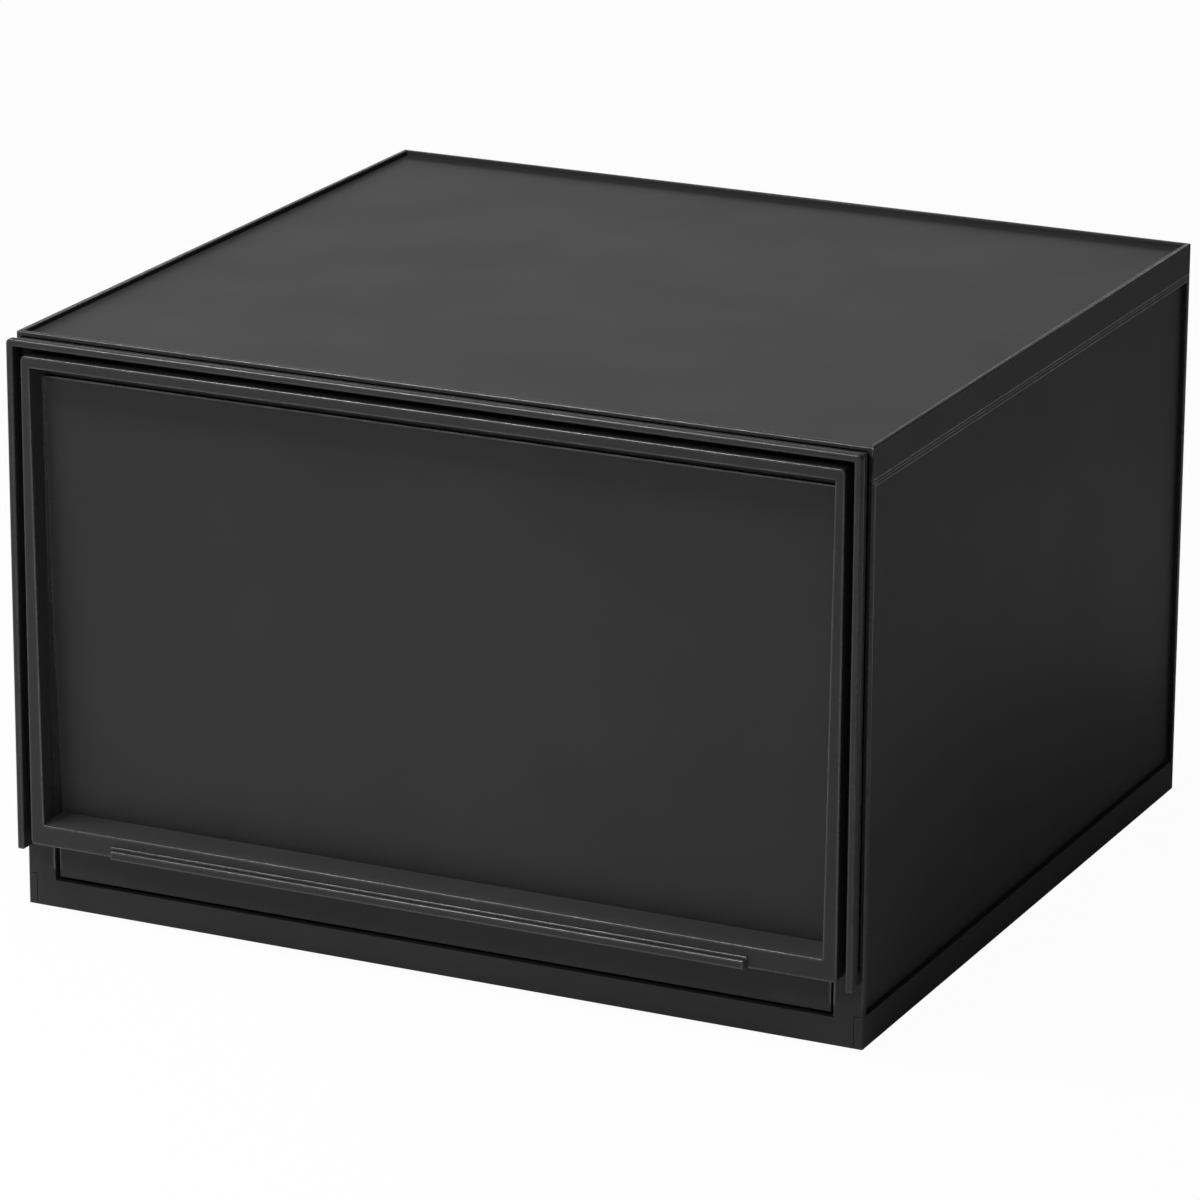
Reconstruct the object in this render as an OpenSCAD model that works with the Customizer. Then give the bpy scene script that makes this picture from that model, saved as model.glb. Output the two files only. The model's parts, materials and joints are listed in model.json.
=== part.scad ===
// Stackable drawer box: a knock-down case of moulded panels with one sliding drawer.
// Millimetres, +Z up, +X to the right, -Y out of the front. The origin is under the middle of the
// whole object, on the surface that it stands on.

/* [Case] */
// Width of the case
case_w = 340; // [300:5:400]
// Depth of the case, without what stands in front of it
case_d = 311; // [260:1:380]
// Height of the case, from the walls' lower edge to the top of the rim
case_h = 222.5; // [190:0.5:290]
// Thickness of the moulded panels
wall = 2.4; // [2.1:0.1:2.7]
// Radius of the case's outer edges
edge_r = 0.8; // [0.4:0.1:1.4]
// Gap at the seams between panels
seam = 0.2; // [0.1:0.05:0.3]
// Height of the foot ring under the walls' lower edge
foot_h = 1.5; // [1.2:0.1:1.7]
// Distance of the foot ring from the outside of the case
foot_inset = 4.4; // [4:0.2:8]
// Width of the foot ring
foot_w = 6; // [4:0.5:10]

/* [Top] */
// Width of the raised stacking rim
rim_w = 2; // [1.8:0.1:2.6]
// Height of the rim above the top field
rim_h = 1.8; // [1.8:0.1:3]
// Height of the top's turned-down flanges
flange_h = 12.3; // [11.5:0.1:16]
// Thickness of the front frame's tongue under the rim
tongue_t = 1; // [0.8:0.1:1.2]
// Height of the ribs under the top
top_rib_h = 5; // [3:0.5:5]
// Distance between the ribs under the top and under the floor
rib_pitch = 55; // [35:5:75]
// Thickness of those ribs
rib_t = 1.6; // [1.2:0.1:2]
// Gap between the ends of the top's ribs and the panels around them
rib_end_gap = 4; // [2:0.5:8]
// Height of the ribs under the floor, which stay clear of the ground
floor_rib_h = 1; // [0.6:0.1:1.1]

/* [Sides] */
// How deep the side's field lies below its border
side_recess = 1.8; // [1.4:0.1:2]
// Height of the proud border under the top's flange
border_h = 2.4; // [2:0.2:5]
// Height of the bottom panel's side strips
strip_h = 12.4; // [12:0.2:14]
// Thickness of the side strips
strip_t = 3.5; // [3.2:0.1:3.8]
// Thickness of the side panel's tongue inside the strip
low_tongue_t = 1.8; // [1.6:0.1:2]
// Gap between the strips' tongue and the floor
low_tongue_gap = 2; // [1:0.5:4]
// Height of the thick band at the foot of the side panel
foot_band_h = 6; // [5:0.5:10]
// Depth of the hollow field on the back panel
back_recess = 0.8; // [0.4:0.1:1]
// Border round the hollow field on the back panel
back_border = 22; // [16:1:40]
// Height of the band that carries the back panel's tongue
back_band_h = 6.5; // [5:0.5:10]

/* [Front frame] */
// Width of the frame on each side of the opening
stile_w = 11.6; // [11.4:0.1:14]
// Height of the sill under the opening
sill_h = 10.9; // [9:0.1:13]
// Height of the case above the opening
head_h = 11; // [10.6:0.1:16]
// Depth of the sleeve round the opening, from the front of the frame
reveal_d = 12; // [8:0.5:14]
// Thickness of the sleeve
reveal_t = 1.8; // [1.4:0.1:2]

/* [Hood] */
// How far the hood stands in front of the case
hood_reach = 9; // [8:0.5:14]
// Width of the hood's lip
lip_w = 2.8; // [2:0.1:3]
// Thickness of the lip from front to back
lip_t = 3; // [2:0.1:4]
// Radius of the lip's front edges
lip_r = 0.8; // [0.4:0.1:0.9]
// Distance of the lip from the outside of the case
lip_inset = 0.7; // [0.4:0.1:1.2]
// Distance of the hood's neck from the outside of the case
neck_inset = 1.8; // [1.5:0.1:2.2]
// Height of the legs' ends above the walls' lower edge
hood_end_h = 24.7; // [18:0.1:26]
// Thickness of the hood's root flange on the frame
root_t = 1.2; // [1:0.1:1.4]
// Distance of the root flange's edges from the opening and from the drawer front's lower edge
root_margin = 1; // [0.5:0.1:1.5]

/* [Drawer front] */
// Gap between the lip and the drawer front at the sides
front_side_gap = 3.2; // [2:0.1:3.4]
// Gap between the lip and the drawer front at the top
front_top_gap = 3; // [1:0.1:4]
// Height of the drawer front's lower edge above the walls' lower edge
front_low_h = 27.5; // [26.5:0.5:34]
// Radius of the drawer front's outer corners
front_corner_r = 1.6; // [0.6:0.2:3]
// Width of the side rails at the top
rail_side_top = 3.8; // [3.2:0.1:4.4]
// Width of the side rails at the bottom
rail_side_low = 5.7; // [5.2:0.1:7]
// Height of the top rail
rail_top = 4.3; // [4:0.1:6]
// Height of the bottom rail
rail_low = 8.15; // [7.6:0.05:12]
// Depth of the leaning panel behind the rails at its top
panel_deep_top = 7; // [5:0.1:7]
// Depth of the leaning panel at its foot
panel_deep_low = 12; // [10:0.1:14]
// How much the ledge under the panel rises towards the back
ledge_rise = 1.75; // [0.5:0.25:4]
// How far each side of the hollow draws in towards the panel
hollow_draft = 1; // [0.6:0.1:1.4]
// Gap between the opening and what stands into it behind the drawer front
plug_gap = 0.7; // [0.6:0.1:0.8]
// Gap between the back of the drawer front and the hood's flange
front_back_gap = 0.2; // [0.1:0.05:0.4]
// Length of the finger hollow under the bottom rail
finger_l = 300; // [270:5:308]
// Depth of the finger hollow from front to back
finger_d = 5.2; // [4.6:0.1:5.2]
// Height of the finger hollow
finger_h = 5.7; // [4.6:0.1:5.7]

/* [Finger pull] */
// Length of the ridge at its root
pull_l = 258.2; // [120:0.2:290]
// How far the ridge stands in front of the bottom rail
pull_reach = 2.4; // [1.5:0.1:5]
// Height of the ridge at its root
pull_h = 4.5; // [4:0.1:6]
// Height of the ridge at its nose
pull_nose_h = 3.3; // [2:0.1:3.6]
// How much shorter the nose is than the root at each end
pull_taper = 0.95; // [0:0.05:3]
// Number of the tongues that hold the ridge
pull_tongues = 6; // [3:1:8]
// Width of each tongue
pull_tongue_w = 12; // [6:1:14]
// Thickness of each tongue
pull_tongue_t = 1.8; // [1.2:0.1:2]
// Height of the tongues above the ridge's underside
pull_tongue_z = 1.2; // [0.8:0.1:1.3]
// Distance of the outer tongues from the ridge's ends
pull_tongue_end = 25; // [10:1:40]

/* [Drawer bin] */
// Gap between the bin and the case's opening
bin_gap = 1.3; // [1.1:0.1:2]
// Gap between the bin's upper edge and the top of the opening
bin_head_gap = 15; // [12:0.5:30]
// How far the bin's lower front lies behind the case's front
bin_set = 1; // [0.4:0.1:2]
// Gap between the bin and the back panel
bin_back_gap = 5.6; // [5.4:0.1:12]
// Thickness of the bin's walls
bin_wall = 2.4; // [2:0.1:2.8]
// Extra thickness of the bin's upper edge
bin_edge_t = 2; // [1:0.2:3]
// Height of the bin's upper edge
bin_edge_h = 3; // [2:0.5:6]
// Gap between the bin's front wall and the back of the drawer front
bin_front_gap = 0.2; // [0.1:0.05:0.4]

/* [Runners] */
// Width of the runner under the bin
runner_w = 9.6; // [8:0.2:14]
// Gap between the runner's front end and the sleeve of the opening
runner_front_gap = 0.6; // [0.4:0.1:4]
// Distance of the runner's back end from the bin's back
runner_back_gap = 3; // [0:0.5:10]
// Gap between the runner and the bin's underside
runner_gap = 0.2; // [0.1:0.05:0.3]
// Gap between the runner's guide and the bin's side
guide_gap = 0.5; // [0.4:0.05:0.6]
// Thickness of the runner's guide
guide_t = 1.2; // [1:0.05:1.3]
// Height of the guide above the runner's top
guide_h = 10.5; // [6:0.5:20]
// Wall of the runner's channel
runner_wall = 2; // [1.6:0.1:2.4]
// Diameter of the runner's pegs
peg_d = 4; // [3:0.5:5]
// Number of the runner's pegs
pegs = 4; // [2:1:6]
// Gap between the bin's upper edge and the rail that keeps it from tipping
tip_gap = 1; // [0.6:0.1:1.5]
// How far that rail reaches over the bin's edge
tip_over = 5; // [3:0.5:8]

/* [Drawer stops] */
// Distance of each stop from the middle
stop_x = 120; // [70:5:125]
// Width of the tabs under the top
stop_w = 24; // [16:1:30]
// Thickness of the tabs
stop_t = 4; // [3:0.5:6]
// Distance of the tabs from the front of the case
stop_y = 38; // [24:1:60]
// Gap between the tabs and the bin's upper edge
stop_gap = 3; // [2:0.5:4]
// Width of the stop lugs on the bin
lug_w = 22; // [14:1:28]
// Height of the stop lugs above the bin's walls
lug_h = 9; // [6:0.5:9.5]
// Thickness of the lugs' legs
lug_leg_t = 2.2; // [1.8:0.1:2.4]
// Length of the lugs' legs
lug_leg_l = 10; // [8:0.5:16]
// Gap between a lug and the bin's wall
lug_gap = 0.2; // [0.1:0.05:0.3]
// Height of the nub that holds a lug under the bin's thick edge
nub_h = 2; // [1:0.5:4]
// Gap between a lug and its tab at the end of the drawer's travel
travel_gap = 0.3; // [0.2:0.1:0.5]

/* [Pins and rivets] */
// Diameter of the panel pins
pin_d = 3; // [2.4:0.1:3.2]
// Length of the panel pins
pin_l = 13.5; // [10:0.5:14]
// Distance of the upright pins from the front and back of the case
pin_in_y = 30; // [24:1:60]
// Distance of the lying pins from the case's lower edge and from its rim
pin_in_z = 70; // [58:1:85]
// Length of each pin boss
boss_l = 7.6; // [7.4:0.1:7.8]
// Width of each pin boss along the panel
boss_w = 10; // [7:0.5:14]
// Gap at each end of a pin in its bore
pin_end = 0.15; // [0.1:0.05:0.3]
// Gap between the pin bosses and the runners' guides
boss_gap = 0.4; // [0.2:0.1:0.6]
// Depth of the lower upright pins' joint below the side panels' foot
low_joint_drop = 2; // [1:0.1:3]
// Running clearance across a pin, peg or rivet
fit = 0.1; // [0.05:0.05:0.2]
// Diameter of the hood rivets
hood_rivet_d = 2.4; // [2:0.1:2.6]
// Diameter of the hood rivets' heads
hood_head_d = 4; // [3.2:0.1:4.2]
// Thickness of the hood rivets' heads
hood_head_t = 0.8; // [0.5:0.1:0.9]
// Diameter of the hood rivets' closed ends behind the frame
hood_tail_d = 3.2; // [2.8:0.1:3.4]
// Thickness of those closed ends
hood_tail_t = 1; // [0.6:0.1:1.6]
// Distance of the hood rivets from the sleeve of the opening
hood_rivet_set = 1.8; // [1.7:0.1:2.2]
// Distance of the inner top rivets from the middle
hood_rivet_mid_x = 50; // [20:5:70]
// Distance of the outer top rivets from the middle
hood_rivet_far_x = 130; // [90:5:135]
// Height of the lower leg rivets above the walls' lower edge
hood_rivet_low = 48; // [35:1:56]
// Distance of the upper leg rivets below the rim
hood_rivet_high = 34; // [20:1:50]
// Diameter of the rivets that hold the drawer front
front_rivet_d = 4; // [3:0.2:4.6]
// Diameter of those rivets' heads
front_head_d = 13; // [11:0.5:16]
// Thickness of those rivets' heads
front_head_t = 1.6; // [1:0.1:2.4]
// Diameter of the bosses behind the drawer front
front_boss_d = 8; // [7:0.5:9]
// Clearance across those bosses in the bin's front wall
front_boss_fit = 0.3; // [0.1:0.05:0.5]
// Distance of the drawer front's rivets from the middle
front_rivet_x = 120; // [60:5:130]
// Height of the lower pair of those rivets above the walls' lower edge
front_rivet_low = 70; // [50:1:85]
// Distance of the upper pair below the rim
front_rivet_high = 52; // [45:1:70]
// Thickness of the panel in front of those rivets' bores
front_skin = 1.3; // [1:0.1:1.6]

/* [Hidden] */
$fn = 48;
// Steps of a quarter circle in a drawn outline
arc_steps = 6;
// How far a cut runs past a surface, and a joined piece into its neighbour
cut = 1;
case_grey = [0.17, 0.17, 0.175];
drawer_grey = [0.19, 0.19, 0.195];
pin_grey = [0.3, 0.3, 0.31];

// The case's outside. Depths are measured from its front plane, and centre_y puts the origin under
// the middle of the whole object.
half_w = case_w / 2;
reach = hood_reach + pull_reach;
centre_y = (case_d - reach) / 2;
low_z = foot_h;
top_z = low_z + case_h;
field_z = top_z - rim_h;
plate_z = field_z - wall;
flange_z = top_z - flange_h;
strip_z = low_z + strip_h;
floor_z = low_z + wall;
side_low_z = strip_z + seam;
side_top_z = flange_z - seam;
tongue_top_z = plate_z - seam;
panel_y0 = wall + seam;
panel_y1 = case_d - wall - seam;

// The side panels' faces, and the room between them and the bin
side_out = half_w - side_recess;
side_in = side_out - wall;
top_tongue_out = half_w - wall - seam;
top_tongue_in = top_tongue_out - wall;
low_tongue_out = half_w - strip_t - seam;
low_tongue_in = low_tongue_out - low_tongue_t;
back_tongue_x = top_tongue_in - seam;
back_tongue_y = panel_y1 - wall;

// The opening and its sleeve
open_x = half_w - stile_w;
open_z0 = low_z + sill_h;
open_z1 = top_z - head_h;
sleeve_x = open_x + reveal_t;

// The hood
hood_y = -hood_reach;
lip_y = hood_y + lip_t;
lip_out = half_w - lip_inset;
lip_in = lip_out - lip_w;
lip_top = field_z + neck_inset - lip_inset;
lip_low = lip_top - lip_w;
neck_out = half_w - neck_inset;
hood_end_z = low_z + hood_end_h;
front_low_z = low_z + front_low_h;
root_in = open_x + root_margin;
root_low_z = open_z1 + root_margin;
root_end_z = front_low_z + root_margin;

// The drawer front: a frame, and a panel that leans back between its rails
front_x = lip_in - front_side_gap;
front_top = lip_low - front_top_gap;
front_back_y = -root_t - front_back_gap;
hollow_top = front_top - rail_top;
hollow_low = front_low_z + rail_low;
ledge_z = hollow_low + ledge_rise;
panel_top_y = hood_y + panel_deep_top;
panel_low_y = hood_y + panel_deep_low;
lean = (panel_low_y - panel_top_y) / (hollow_top - ledge_z);
function panel_y(z) = panel_top_y + lean * (hollow_top - z);
function hollow_x(y, z) =
    front_x - rail_side_low + (rail_side_low - rail_side_top) * (z - hollow_low) / (hollow_top - hollow_low)
    - hollow_draft * (y - hood_y) / panel_deep_low;
plug_x = open_x - plug_gap;
plug_top = open_z1 - plug_gap;
plug_low = ledge_z - wall;

// The tongues of the finger pull
tongue_z0 = front_low_z + pull_tongue_z;
tongue_z1 = tongue_z0 + pull_tongue_t;
tongue_span = pull_l - 2 * pull_tongue_end;
tongue_xs = [for (i = [0 : pull_tongues - 1]) tongue_span * (i / (pull_tongues - 1) - 0.5)];

// The bin, whose front wall steps back behind the plug
bin_x = open_x - bin_gap;
bin_z0 = open_z0 + bin_gap;
bin_z1 = open_z1 - bin_head_gap;
bin_y1 = case_d - wall - bin_back_gap;
shelf_z = plug_low - bin_front_gap;
function bin_front_y(z) = panel_y(z) + wall + bin_front_gap;

// The runners
runner_y0 = reveal_d + runner_front_gap;
runner_y1 = bin_y1 - runner_back_gap;
runner_top = bin_z0 - runner_gap;
guide_in = bin_x + guide_gap;
guide_out = guide_in + guide_t;
runner_in = guide_in - runner_w;
peg_x = (runner_in + guide_out) / 2;
peg_web = peg_d + 2 * runner_wall;
peg_ys = [for (i = [0 : pegs - 1])
    runner_y0 + peg_web + (runner_y1 - runner_y0 - 2 * peg_web) * i / (pegs - 1)];
tip_z = bin_z1 + tip_gap;

// The stops: a lug's front leg meets a tab at the end of the drawer's travel
tab_y1 = stop_y + stop_t;
lug_in_y = bin_y1 - bin_wall - bin_edge_t - lug_gap;
lug_y0 = lug_in_y - lug_leg_t;
lug_y1 = bin_y1 + lug_gap + lug_leg_t;

// Pins and their bosses stand between the bin and the side panels
boss_in = guide_out + boss_gap;
upright_x = (boss_in + low_tongue_in - seam) / 2;
lying_in = sleeve_x + seam;
lying_x = (sleeve_x + side_in - seam) / 2;
pin_ys = [pin_in_y, case_d - pin_in_y];
pin_zs = [low_z + pin_in_z, top_z - pin_in_z];
pin_half = pin_l / 2 + pin_end;
top_joint_z = plate_z - boss_l - seam / 2;
low_joint_z = side_low_z - low_joint_drop;
front_joint_y = wall + boss_l + seam / 2;
back_joint_y = case_d - wall - boss_l - seam / 2;

// Rivets in the hood's root
root_rivet_x = sleeve_x + hood_rivet_set;
root_rivet_z = open_z1 + reveal_t + hood_rivet_set;
root_rivet_zs = [low_z + hood_rivet_low, top_z - hood_rivet_high];
root_rivet_xs = [hood_rivet_mid_x, hood_rivet_far_x];

// Rivets of the drawer front. The bin's leaning front wall runs back by head_lean over half a head.
front_rivet_zs = [low_z + front_rivet_low, top_z - front_rivet_high];
head_lean = lean * front_head_d / 2;
boss_end = bin_wall - head_lean;
rivet_bore_z = front_skin - wall - bin_front_gap;

echo(travel = lug_y0 - tab_y1 - travel_gap);

// --- Shapes that repeat ---

module box(a, b) translate(a) cube(b - a);

// A solid with its section drawn in (x, z), from y0 to y1
module along_y(y0, y1) translate([0, y1, 0]) rotate([90, 0, 0]) linear_extrude(y1 - y0) children();

// A solid with its section drawn in (y, z), from x0 to x1
module along_x(x0, x1) translate([x0, 0, 0]) rotate([90, 0, 90]) linear_extrude(x1 - x0) children();

// A quarter circle about [x, y] that starts at the angle from
function quarter(x, y, r, from) = [for (i = [0 : arc_steps])
    let (turn = from + 90 * i / arc_steps) [x + r * cos(turn), y + r * sin(turn)]];

function rounded(a, b, r) = concat(
    quarter(b[0] - r, b[1] - r, r, 0), quarter(a[0] + r, b[1] - r, r, 90),
    quarter(a[0] + r, a[1] + r, r, 180), quarter(b[0] - r, a[1] + r, r, 270));

module both_sides() {
    children();
    mirror([1, 0, 0]) children();
}

// The case's outside with all its edges rounded
module envelope() intersection() {
    translate([0, 0, low_z]) linear_extrude(case_h)
        polygon(rounded([-half_w, 0], [half_w, case_d], edge_r));
    along_y(0, case_d) polygon(rounded([-half_w, low_z], [half_w, top_z], edge_r));
    along_x(-half_w, half_w) polygon(rounded([0, low_z], [case_d, top_z], edge_r));
}

// Puts a piece drawn from the case's front plane over the origin
module placed() translate([0, -centre_y, 0]) children();

module upright_bore(z0, z1) for (y = pin_ys)
    translate([upright_x, y, z0]) cylinder(d = pin_d + fit, h = z1 - z0);

module lying_bore(y0, y1) for (z = pin_zs)
    translate([lying_x, y1, z]) rotate([90, 0, 0]) cylinder(d = pin_d + fit, h = y1 - y0);

// Four upright pins whose middles lie at height z
module upright_pins(z) both_sides() for (y = pin_ys)
    translate([upright_x, y, z - pin_l / 2]) cylinder(d = pin_d, h = pin_l);

// Four lying pins whose middles lie at depth y
module lying_pins(y) both_sides() for (z = pin_zs)
    translate([lying_x, y + pin_l / 2, z]) rotate([90, 0, 0]) cylinder(d = pin_d, h = pin_l);

// --- Case ---

module top_panel() color(case_grey) placed() difference() {
    union() {
        intersection() {
            envelope();
            difference() {
                union() {
                    box([-half_w, 0, plate_z], [half_w, case_d, top_z]);
                    both_sides() box([half_w - wall, 0, flange_z], [half_w, case_d, plate_z + cut]);
                    box([-half_w, case_d - wall, flange_z], [half_w, case_d, plate_z + cut]);
                }
                box([rim_w - half_w, rim_w, field_z], [half_w - rim_w, case_d - rim_w, top_z + cut]);
                box([wall - half_w, -cut, plate_z - cut], [half_w - wall, tongue_t + seam, field_z]);
            }
        }
        for (x = [rib_pitch / 2 : rib_pitch : bin_x - rib_t]) both_sides()
            box([x, reveal_d + rib_end_gap, plate_z - top_rib_h],
                [x + rib_t, back_tongue_y - rib_end_gap, plate_z + cut]);
        for (y = [stop_y : rib_pitch : back_tongue_y - rib_end_gap - rib_t])
            box([rib_t - bin_x, y, plate_z - top_rib_h], [bin_x - rib_t, y + rib_t, plate_z + cut]);
        both_sides() {
            box([stop_x - stop_w / 2, stop_y, bin_z1 + stop_gap],
                [stop_x + stop_w / 2, tab_y1, plate_z + cut]);
            for (y = pin_ys) box([boss_in, y - boss_w / 2, plate_z - boss_l],
                [top_tongue_in - seam, y + boss_w / 2, plate_z + cut]);
        }
    }
    both_sides() upright_bore(top_joint_z - cut, top_joint_z + pin_half);
}

module bottom_panel() color(case_grey) placed() difference() {
    union() {
        intersection() {
            envelope();
            union() {
                box([-half_w, panel_y0, low_z], [half_w, panel_y1, floor_z]);
                both_sides() box([half_w - strip_t, 0, low_z], [half_w, case_d, strip_z]);
            }
        }
        difference() {
            box([foot_inset - half_w, foot_inset, 0],
                [half_w - foot_inset, case_d - foot_inset, low_z + cut]);
            box([foot_inset + foot_w - half_w, foot_inset + foot_w, -cut],
                [half_w - foot_inset - foot_w, case_d - foot_inset - foot_w, low_z]);
        }
        for (x = [rib_pitch / 2 : rib_pitch : half_w - foot_inset - foot_w]) both_sides()
            box([x, foot_inset + cut, low_z - floor_rib_h],
                [x + rib_t, case_d - foot_inset - cut, low_z + cut]);
        both_sides() for (y = pin_ys) box([boss_in, y - boss_w / 2, floor_z - cut],
            [low_tongue_in - seam, y + boss_w / 2, low_joint_z - seam / 2]);
    }
    both_sides() {
        upright_bore(low_joint_z - pin_half, low_joint_z + cut);
        for (y = peg_ys) translate([peg_x, y, -cut]) cylinder(d = peg_d + fit, h = floor_z + 2 * cut);
    }
}

// The right side panel. Its tongues stand inside the top's flange and the bottom's strip.
module side_panel() difference() {
    union() {
        box([side_in, panel_y0, side_low_z], [side_out, panel_y1, side_top_z]);
        box([side_in, panel_y0, side_top_z - border_h], [half_w, panel_y1, side_top_z]);
        box([top_tongue_in, panel_y0, side_top_z - border_h], [top_tongue_out, panel_y1, tongue_top_z]);
        box([low_tongue_in, panel_y0, side_low_z], [side_out, panel_y1, side_low_z + foot_band_h]);
        box([low_tongue_in, panel_y0, floor_z + low_tongue_gap],
            [low_tongue_out, panel_y1, side_low_z + cut]);
        box([bin_x - tip_over, runner_y0, tip_z], [side_in + cut, runner_y1, tip_z + wall]);
        for (y = pin_ys) {
            box([boss_in, y - boss_w / 2, top_joint_z - seam / 2 - boss_l],
                [side_in + cut, y + boss_w / 2, top_joint_z - seam / 2]);
            box([boss_in, y - boss_w / 2, low_joint_z + seam / 2],
                [low_tongue_out, y + boss_w / 2, low_joint_z + seam / 2 + boss_l]);
        }
        for (z = pin_zs, y = [front_joint_y + seam / 2, back_joint_y - seam / 2 - boss_l])
            box([lying_in, y, z - boss_w / 2], [side_in + cut, y + boss_l, z + boss_w / 2]);
    }
    upright_bore(top_joint_z - pin_half, top_joint_z + cut);
    upright_bore(low_joint_z - cut, low_joint_z + pin_half);
    lying_bore(front_joint_y - cut, front_joint_y + pin_half);
    lying_bore(back_joint_y - pin_half, back_joint_y + cut);
}

module right_side_panel() color(case_grey) placed() side_panel();

module left_side_panel() color(case_grey) placed() mirror([1, 0, 0]) side_panel();

module back_panel() color(case_grey) placed() difference() {
    union() {
        intersection() {
            envelope();
            union() {
                box([-low_tongue_out, case_d - wall, low_z], [low_tongue_out, case_d, side_low_z + cut]);
                box([-half_w, case_d - wall, side_low_z], [half_w, case_d, side_top_z]);
            }
        }
        box([-back_tongue_x, back_tongue_y, side_top_z - back_band_h],
            [back_tongue_x, case_d - wall + cut, side_top_z]);
        box([-back_tongue_x, back_tongue_y, side_top_z - cut], [back_tongue_x, panel_y1, tongue_top_z]);
        both_sides() for (z = pin_zs) box([sleeve_x, back_joint_y + seam / 2, z - boss_w / 2],
            [side_in - seam, case_d - wall + cut, z + boss_w / 2]);
    }
    box([back_border - half_w, case_d - back_recess, low_z + back_border],
        [half_w - back_border, case_d + cut, side_top_z - back_border]);
    both_sides() lying_bore(back_joint_y - cut, back_joint_y + pin_half);
}

module front_frame() color(case_grey) placed() difference() {
    union() {
        intersection() {
            envelope();
            union() {
                box([-low_tongue_out, 0, low_z], [low_tongue_out, wall, side_low_z + cut]);
                box([-half_w, 0, side_low_z], [half_w, wall, side_top_z]);
                box([-top_tongue_out, 0, side_top_z - cut], [top_tongue_out, wall, tongue_top_z]);
                box([-top_tongue_out, 0, tongue_top_z - cut], [top_tongue_out, tongue_t, field_z - seam]);
            }
        }
        box([-sleeve_x, wall - cut, open_z0 - reveal_t], [sleeve_x, reveal_d, open_z1 + reveal_t]);
        both_sides() for (z = pin_zs) box([sleeve_x - cut, wall - cut, z - boss_w / 2],
            [side_in - seam, front_joint_y - seam / 2, z + boss_w / 2]);
    }
    box([-open_x, -cut, open_z0], [open_x, reveal_d + cut, open_z1]);
    both_sides() lying_bore(front_joint_y - pin_half, front_joint_y + cut);
    at_root_rivets() translate([0, 0, -wall - cut]) cylinder(d = hood_rivet_d + fit, h = wall + 2 * cut);
}

// Puts its children at each rivet of the hood's root, with +Z out of the front and the frame's
// face at zero
module at_root_rivets() both_sides() {
    for (z = root_rivet_zs) translate([root_rivet_x, 0, z]) rotate([90, 0, 0]) children();
    for (x = root_rivet_xs) translate([x, 0, root_rivet_z]) rotate([90, 0, 0]) children();
}

// An upside-down U between two outlines, from the legs' end up
module arch(out_x, out_z, in_x, in_z, end_z) polygon([
    [-out_x, end_z], [-out_x, out_z], [out_x, out_z], [out_x, end_z],
    [in_x, end_z], [in_x, in_z], [-in_x, in_z], [-in_x, end_z]]);

// The lip's section, with u from its outer edge inwards and v from front to back
lip_section = concat(quarter(lip_r, lip_r, lip_r, 180), quarter(lip_w - lip_r, lip_r, lip_r, 270),
    [[lip_w, lip_t], [0, lip_t]]);

module lip_leg(z0, z1) translate([0, 0, z0]) linear_extrude(z1 - z0)
    polygon([for (p = lip_section) [lip_out - p[0], hood_y + p[1]]]);

module lip_bar(x0, x1) along_x(x0, x1) polygon([for (p = lip_section) [hood_y + p[1], lip_top - p[0]]]);

module front_hood() color(case_grey) placed() difference() {
    union() {
        along_y(-root_t, 0) arch(neck_out, field_z, root_in, root_low_z, root_end_z);
        along_y(lip_y - cut, 0) arch(neck_out, field_z, lip_in, lip_low, hood_end_z);
        lip_bar(-lip_in, lip_in);
        both_sides() {
            lip_leg(hood_end_z, lip_low);
            intersection() {
                lip_leg(lip_low - cut, lip_top);
                lip_bar(lip_in - cut, lip_out);
            }
        }
    }
    at_root_rivets() {
        translate([0, 0, -cut]) cylinder(d = hood_rivet_d + fit, h = root_t + 2 * cut);
        translate([0, 0, root_t - hood_head_t]) cylinder(d = hood_head_d + fit, h = cut);
    }
}

module hood_rivets() color(pin_grey) placed() at_root_rivets() {
    translate([0, 0, -wall]) cylinder(d = hood_rivet_d, h = wall + root_t - hood_head_t);
    translate([0, 0, root_t - hood_head_t]) cylinder(d = hood_head_d, h = hood_head_t);
    translate([0, 0, -wall - hood_tail_t]) cylinder(d = hood_tail_d, h = hood_tail_t);
}

// The right runner: an upturned channel with webs, pegs and a guide for the bin's side
module runner() {
    difference() {
        union() {
            box([runner_in, runner_y0, floor_z], [guide_out, runner_y1, runner_top]);
            box([guide_in, runner_y0, floor_z], [guide_out, runner_y1, runner_top + guide_h]);
        }
        box([runner_in + runner_wall, runner_y0 + runner_wall, floor_z - cut],
            [guide_out - runner_wall, runner_y1 - runner_wall, runner_top - runner_wall]);
    }
    for (y = peg_ys) {
        box([runner_in, y - peg_web / 2, floor_z], [guide_out, y + peg_web / 2, runner_top]);
        translate([peg_x, y, low_z + seam]) cylinder(d = peg_d, h = wall + cut);
    }
}

module right_runner() color(pin_grey) placed() runner();

module left_runner() color(pin_grey) placed() mirror([1, 0, 0]) runner();

module top_pins() color(pin_grey) placed() upright_pins(top_joint_z);

module bottom_pins() color(pin_grey) placed() upright_pins(low_joint_z);

module front_pins() color(pin_grey) placed() lying_pins(front_joint_y);

module back_pins() color(pin_grey) placed() lying_pins(back_joint_y);

// --- Drawer ---

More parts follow.
